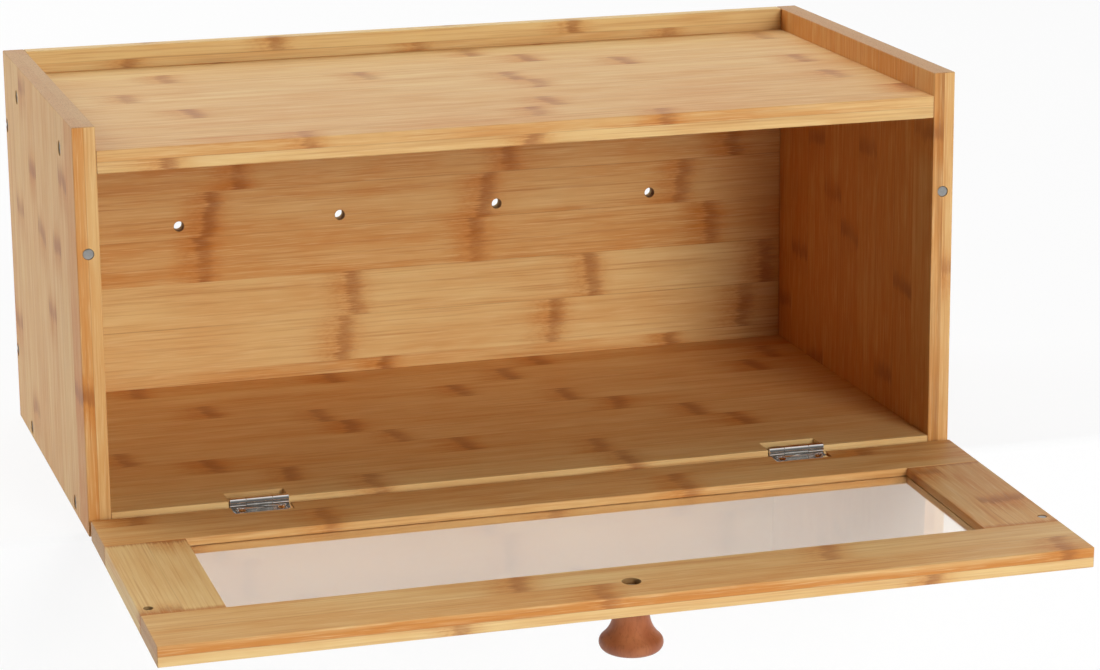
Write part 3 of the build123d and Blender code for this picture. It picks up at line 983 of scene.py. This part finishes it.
DOOR_BOARDS = (
    Board(
        "door_hinge_rail",
        Lay.FLAT,
        sawn=0.0,
        strips=strips((0.6, -102, 60), (0.68, -181, 155), (0.65, -20, 100)),
        swings=True,
    ),
    Board(
        "door_pull_rail",
        Lay.FLAT,
        sawn=5.0,
        strips=strips((0.52, -16, 187), (0.36, -46, 90), (0.5, 10, 140)),
        bores=(Bore(0.0, -1.0, radius=4.0, floor=0.2),),
        swings=True,
        rind_and_front_shade=0.8,
    ),
    # The left stile's pale tones are partly its own and partly painted light, where more light falls on it.
    Board(
        "door_left_stile",
        Lay.STILE,
        sawn=5.0,
        strips=strips((0.05, -38), (0.15, -121), (0.0, -70)),
        bores=(Bore(-35.6, 13.0, radius=2.0, floor=1.0),),
        swings=True,
    ),
    # The right stile's darker tones are partly its own and partly painted shade, which dulls the pale sheen
    # it takes from the room.
    Board(
        "door_right_stile",
        Lay.STILE,
        sawn=0.0,
        strips=strips((0.6, -90), (0.64, -45), (0.55, -120)),
        bores=(Bore(-35.6, -13.0, radius=2.0, floor=1.0),),
        swings=True,
    ),
)


# Sub-assemblies


class Side(Enum):
    """A side of the bread box, as its front is seen."""

    LEFT = "left"
    RIGHT = "right"

    @property
    def sign(self) -> float:
        """Which way along X the side lies."""
        return -1.0 if self is Side.LEFT else 1.0


@dataclass
class Case:
    """The case: five bamboo boards, screwed together through its sides, with a magnet in each front edge."""

    bamboo: Bamboo
    zinc: bpy.types.Material
    magnet: bpy.types.Material
    boards: tuple[Board, ...] = CASE_BOARDS
    screw: CrossHead = PANEL_SCREW
    sink: float = 0.5  # of a screw's head below the panel's face
    inset: float = 36.5  # from the front edge to the front screw of the shelf or the bottom
    spacing: float = 127.0  # from that screw to the one behind it
    back_heights: Point = (34.0, 144.0)  # of the screws into the back panel
    seed: int = 7  # of the screws' turns

    def screw_points(self) -> list[Point]:
        """Work out where a side panel's screws lie: in the middle of the thickness of each board behind it.

        Returns:
            The screws' Y and Z.
        """
        front = float(box_mm("left_side_panel")[0, 1]) + self.inset
        back = float(box_mm("back_panel").mean(0)[1])
        shelf, bottom = (float(box_mm(node).mean(0)[2]) for node in ("top_shelf", "bottom_panel"))
        pairs = [[(front, z), (front + self.spacing, z)] for z in (shelf, bottom)]
        return [*pairs[0], *((back, z) for z in self.back_heights), *pairs[1]]

    def build(self) -> None:
        """Drive the screws into both side panels, each with its own turn."""
        chance = np.random.default_rng(self.seed)
        for side in Side:
            face = side.sign * (abs(box_mm(f"{side.value}_side_panel")).max() - self.sink)
            patches = []
            for y, z in self.screw_points():
                spin = float(chance.uniform(0, 90))
                patches += self.screw.placed((face, y, z), (side.sign, 0, 0), spin)
            made = weld(f"{side.value}_panel_screws_turned", patches)
            stand_in(made, f"{side.value}_panel_screws", "case", self.zinc)

    def dress(self) -> None:
        """Give the boards and the magnets their finishes."""
        for board in self.boards:
            dress(board.node, self.bamboo.material(board))
        for side in Side:
            dress(f"{side.value}_case_magnet", self.magnet)


@dataclass
class Door:
    """The drop-front door: rails and stiles, dowelled round a clear window, with a magnet in each stile."""

    bamboo: Bamboo
    pane: bpy.types.Material
    wood: bpy.types.Material
    magnet: bpy.types.Material
    boards: tuple[Board, ...] = DOOR_BOARDS

    def dress(self) -> None:
        """Give the frame, the window, the dowels and the magnets their finishes."""
        for board in self.boards:
            dress(board.node, self.bamboo.material(board))
        dress("door_window", self.pane)
        dress("door_corner_dowels", self.wood)
        for side in Side:
            dress(f"{side.value}_door_magnet", self.magnet)


LEAF_SCREW_SEED = 11  # of the leaf screws' turns, for both hinges


@dataclass
class Hinge:
    """One small butt hinge: two stamped leaves, a pin with peened ends and four screws."""

    side: Side
    nickel: bpy.types.Material
    chance: np.random.Generator  # of the screws' turns
    screw: CrossHead = LEAF_SCREW
    screw_offset: float = 8.7  # from the hinge's middle, along the pin
    screw_reach: float = 6.2  # from the pin's axis
    leaf_face: float = -1.3  # height of a leaf's face from the pin's axis
    pin_radius: float = 1.0
    peen: float = 0.3  # rounding of the pin's ends
    rolled: float = 0.12  # width of the soft edge that stamping leaves on a leaf
    cut_edge: float = 40.0  # the least angle of an edge that is rolled, in degrees
    crease: float = 30.0  # the least angle of a sharp edge, in degrees

    def name(self, part: str) -> str:
        """Name one of the hinge's nodes."""
        return f"{self.side.value}_hinge_{part}"

    def build(self) -> None:
        """Build the pin, then each leaf and its screws."""
        self.pin()
        for body in ("case", "door"):
            self.leaf(body)
            self.screws(body)

    def screws(self, body: str) -> None:
        """Drive two small screws through a leaf.

        Args:
            body: The body that the leaf is on, case or door.
        """
        middle = float(box_mm(self.name("pin")).mean(0)[0])
        reach = self.screw_reach if body == "case" else -self.screw_reach
        patches = []
        for offset in (-self.screw_offset, self.screw_offset):
            spin = float(self.chance.uniform(0, 90))
            patches += self.screw.placed((middle + offset, reach, self.leaf_face), (0, 0, 1), spin)
        patches = [patch + HINGE_AXIS if body == "case" else hung(patch) for patch in patches]
        node = self.name(f"{body}_screws")
        made = weld(node + "_turned", patches, self.crease)
        stand_in(made, node, body, self.nickel)

    def pin(self) -> None:
        """Turn the pin about the hinge's axis: a rod whose edges are quarter circles."""
        low, high = box_mm(self.name("pin"))
        half = float(high[0] - low[0]) / 2
        bend = np.linspace(0, np.pi / 2, 7)
        cap = np.stack([np.sin(bend) - 1, np.cos(bend) - 1], 1) * self.peen + (self.pin_radius, half)
        outline = np.concatenate([[(0.0, half)], cap, cap[::-1] * (1, -1), [(0.0, -half)]])
        rod = turned(outline, 48)[..., [2, 0, 1]] + ((low[0] + high[0]) / 2, *HINGE_AXIS[1:])
        made = weld(self.name("pin_peened"), [rod])
        stand_in(made, self.name("pin"), "case", self.nickel)

    def leaf(self, body: str) -> None:
        """Finish a stamped leaf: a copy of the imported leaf, merged, with its cut edges rolled over.

        Args:
            body: The body that the leaf is on, case or door.
        """
        node = self.name(f"{body}_leaf")
        mesh = frame["nodes"][node].data.copy()
        shape = bmesh.new()
        shape.from_mesh(mesh)
        bmesh.ops.remove_doubles(shape, verts=shape.verts, dist=0.001 * MM)
        flat = {"angle_limit": math.radians(1.0), "verts": shape.verts, "edges": shape.edges}
        bmesh.ops.dissolve_limit(shape, **flat)
        shape.to_mesh(mesh)
        shape.free()
        made = shown(node + "_finished", mesh, self.crease)
        bevel = made.modifiers.new("rolled_edges", "BEVEL")
        bevel.width = self.rolled * MM
        bevel.segments = 2
        bevel.limit_method = "ANGLE"
        bevel.angle_limit = math.radians(self.cut_edge)
        bevel.harden_normals = True
        stand_in(made, node, body, self.nickel)


@dataclass
class Knob:
    """The turned knob under the door, and the pan-head screw that holds it from the other face.

    The outline's points are radius and height, from the knob's base down its axis.
    """

    wood: bpy.types.Material
    zinc: bpy.types.Material
    screw: CrossHead = KNOB_SCREW
    screw_spin: float = 25.0  # degrees
    reach: float = 141.75  # from the hinges' axis to the knob's axis, along the door
    door_face: float = -1.0  # height of the door's inner face from the hinges' axis
    door_board: float = 9.0
    counterbore: float = 4.6  # depth of the hole that the screw's head sits in
    screw_head: float = 2.4
    base: Point = (8.2, 0.0)
    neck: Point = (7.6, 4.2)
    flare: Point = (12.1, 14.3)
    rim: Point = (13.4, 16.9)
    lip: Point = (11.4, 20.2)
    height: float = 21.1
    ring_pitch: float = 0.55  # of the fine rings that the lathe tool leaves
    ring_depth: float = 0.025
    crease: float = 60.0  # the least angle of a sharp edge, in degrees, more than the rings have

    def outline(self) -> np.ndarray:
        """Draw the half section: a hollow neck, a round rim and a low dome, with fine rings from the tool.

        The dome is the circle through the lip that is level on the axis, so its radius is half of
        the lip's radius squared over the dome's rise, plus half of the rise. The rings take a sine
        of the height off the radius, past the seat at the base.

        Returns:
            Radius and height of each point.
        """
        hollow = arc(self.base, self.neck, self.flare, 60)
        round_rim = arc(self.flare, self.rim, self.lip, 40)[1:]
        rise = self.height - self.lip[1]
        far = self.lip[0] ** 2 / (2 * rise) + rise / 2
        radius = np.linspace(self.lip[0], 0.0, 24)[1:]
        dome = np.stack([radius, self.height - far + np.sqrt(far**2 - radius**2)], 1)
        outline = np.concatenate([[(0.0, 0.0)], hollow, round_rim, dome])
        worked = outline.min(1) > self.ring_pitch / 2
        waves = self.ring_depth * (0.5 - 0.5 * np.sin(2 * np.pi * outline[:, 1] / self.ring_pitch))
        outline[:, 0] -= np.where(worked, waves, 0.0)
        return outline

    def build(self) -> None:
        """Turn the knob about its axis, point it down from the door's outer face, and drive its screw."""
        seat = (0.0, -self.reach, self.door_face - self.door_board)
        points = turned(self.outline(), 128) * (1, 1, -1) + seat
        made = weld("door_knob_turned", [hung(points)], self.crease)
        stand_in(made, "door_knob", "door", self.wood)
        place = (0.0, -self.reach, self.door_face - self.counterbore + self.screw_head)
        patches = [hung(patch) for patch in self.screw.placed(place, (0, 0, 1), self.screw_spin)]
        made = weld("door_knob_screw_turned", patches)
        stand_in(made, "door_knob_screw", "door", self.zinc)


# Studio


@dataclass(frozen=True)
class Lamp:
    """A soft round lamp: where it stands round the aim, its size in metres and its power in watts."""

    name: str
    azimuth: float  # degrees right of the front
    elevation: float  # degrees
    size: float
    power: float


@dataclass
class Studio:
    """A pale counter with the box at its front edge, soft lamps, and the photograph's view, in metres."""

    aim: Place = (0.0, -0.05, 0.08)
    camera_place: Place = (-0.41416, -1.51805, 0.45254)
    azimuth: float = 16.612  # degrees that the camera looks to the right of the back
    depression: float = 14.41
    roll: float = -0.526
    lens: float = 112.74  # mm, on a sensor 36 mm wide
    edge: float = -0.097  # where the counter's front edge is
    lip: float = 0.004  # rounding of that edge
    cove: float = 0.1  # rounding where the counter's face meets the floor
    drop: float = 0.35  # from the counter down to the floor
    back: float = 3.0  # how far back the counter goes
    front: float = -4.0  # how far forward the floor goes
    half_width: float = 4.0
    glow: float = 0.88  # share of plain white that the eye sees in the counter
    pane_glow: float = 0.52  # the same, seen through the window
    dark_front: float = 0.15  # how bright the room in front of the box is in glossy surfaces
    front_fade: Point = (-0.75, -0.25)  # Y of the ways from the box where that dark starts to fade and ends
    dim: float = 0.01  # strength of the world's light on the box
    distance: float = 3.0  # of the lamps from the aim
    lamps: tuple[Lamp, ...] = (
        Lamp("key", 17.0, 20.0, 1.2, 34.0),
        Lamp("low_front", 13.0, 6.0, 1.2, 31.0),
        Lamp("right", 38.0, 18.0, 1.3, 3.0),
        Lamp("top", 180.0, 75.0, 2.7, 33.0),
        Lamp("behind", 180.0, 45.0, 2.0, 24.0),
        Lamp("left", -125.0, 30.0, 2.0, 40.0),
    )

    def light(self) -> None:
        """Hang the lamps round the aim."""
        for lamp in self.lamps:
            turn, rise = math.radians(lamp.azimuth), math.radians(lamp.elevation)
            way = Vector((math.sin(turn) * math.cos(rise), -math.cos(turn) * math.cos(rise), math.sin(rise)))
            data = bpy.data.lights.new(lamp.name, "AREA")
            data.shape = "DISK"
            data.size = lamp.size
            data.energy = lamp.power
            lit = bpy.data.objects.new(lamp.name, data)
            lit.location = Vector(self.aim) + way * self.distance
            lit.rotation_euler = way.to_track_quat("Z", "Y").to_euler()
            lit.visible_camera = False
            lit.visible_glossy = False
            bpy.context.scene.collection.objects.link(lit)

    def surround(self) -> None:
        """Set a world that is plain white to the eye and lights the box by next to nothing.

        Glossy surfaces see the room in front of the box, behind the camera, darker than the rest.
        """
        world = bpy.data.worlds.new("white_surround")
        bpy.context.scene.world = world
        world.use_nodes = True
        tree = world.node_tree
        tree.nodes.clear()
        front = add(tree, "SeparateXYZ", add(tree, "TexCoord", out="Generated"), out="Y")
        room = add(tree, "MapRange", front, *self.front_fade, self.dark_front, 1.0)
        path = add(tree, "LightPath").node.outputs
        plain = add(tree, "Math:MAXIMUM", path["Is Camera Ray"], path["Is Transmission Ray"])
        room = add(tree, "Math:MAXIMUM", plain, room)
        dim, white = (add(tree, "Background", linear("#FFFFFF"), strength) for strength in (self.dim, room))
        shader = add(tree, "MixShader", self.seen(tree, 1.0, 1.0), dim, white)
        end = tree.nodes.new("ShaderNodeOutputWorld")
        tree.links.new(shader, end.inputs["Surface"])

    def seen(self, tree: Tree, plain: float, through: float) -> Feed:
        """Tell the rays that show a surface from those that light.

        Args:
            tree: The material's or the world's node tree.
            plain: What camera and glossy rays get.
            through: What rays through clear sheet get.

        Returns:
            The value for the ray, 0 for all others.
        """
        path = add(tree, "LightPath").node.outputs
        passed = path["Is Transmission Ray"]
        seen = add(tree, "Math:MAXIMUM", path["Is Camera Ray"], path["Is Glossy Ray"])
        seen = add(tree, "Math:MAXIMUM", seen, passed)
        seen = add(tree, "Math:MULTIPLY", seen, plain)
        return add(tree, "Math:MULTIPLY_ADD", passed, through - plain, seen)

    def profile(self) -> np.ndarray:
        """Draw the counter: a level top, a quarter circle, a face, a quarter circle and the lower floor.

        Returns:
            Y and Z of each point, from the back to the front.
        """
        bend = np.radians(np.linspace(90, 180, 13))
        corner = np.stack([np.cos(bend), np.sin(bend)], 1)
        lip = corner * self.lip + (self.edge + self.lip, -self.lip)
        cove = corner[::-1] * -self.cove + (self.edge - self.cove, self.cove - self.drop)
        return np.concatenate([[(self.back, 0.0)], lip, cove, [(self.front, -self.drop)]])

    def stand(self) -> None:
        """Carry the counter's profile along X, and give it white that still takes the object's shadow."""
        profile = self.profile()
        grid = np.zeros((len(profile), 2, 3))
        grid[..., 0] = (-self.half_width, self.half_width)
        grid[..., 1:] = profile[:, None]
        piece = weld("counter", [grid / MM])
        material, tree = new_tree("pale_counter")
        lit = add(tree, "BsdfDiffuse", linear("#F4F4F4"))
        glow = add(tree, "Emission", linear("#FFFFFF"), 1.0)
        add_output(tree, add(tree, "MixShader", self.seen(tree, self.glow, self.pane_glow), lit, glow))
        piece.data.materials.append(material)

    def look(self) -> None:
        """Set the camera where the photograph was taken from."""
        turn, fall, roll = (math.radians(angle) for angle in (self.azimuth, self.depression, self.roll))
        ahead = Vector((math.sin(turn) * math.cos(fall), math.cos(turn) * math.cos(fall), -math.sin(fall)))
        data = bpy.data.cameras.new("photo_view")
        data.sensor_width = 36.0
        data.sensor_fit = "HORIZONTAL"
        data.lens = self.lens
        camera = bpy.data.objects.new("photo_view", data)
        facing = ahead.to_track_quat("-Z", "Y").to_matrix() @ Matrix.Rotation(roll, 3, "Z")
        camera.matrix_world = Matrix.LocRotScale(Vector(self.camera_place), facing.to_quaternion(), None)
        bpy.context.scene.collection.objects.link(camera)
        bpy.context.scene.camera = camera
        bpy.context.scene.view_settings.view_transform = "Standard"


def main() -> None:
    """Build and dress the case, the door, the hinges and the knob, and set up the studio."""
    logging.basicConfig(level=logging.INFO)
    bamboo = Bamboo()
    wood = StainedWood().material()
    nickel, zinc, magnet = (metal.material() for metal in (NICKEL, ZINC, MAGNET))
    case = Case(bamboo, zinc, magnet)
    case.build()
    case.dress()
    Door(bamboo, ClearAcrylic().material(), wood, magnet).dress()
    chance = np.random.default_rng(LEAF_SCREW_SEED)
    for side in Side:
        Hinge(side, nickel, chance).build()
    Knob(wood, zinc).build()
    studio = Studio()
    studio.light()
    studio.surround()
    studio.stand()
    studio.look()


if __name__ == "__main__":
    main()
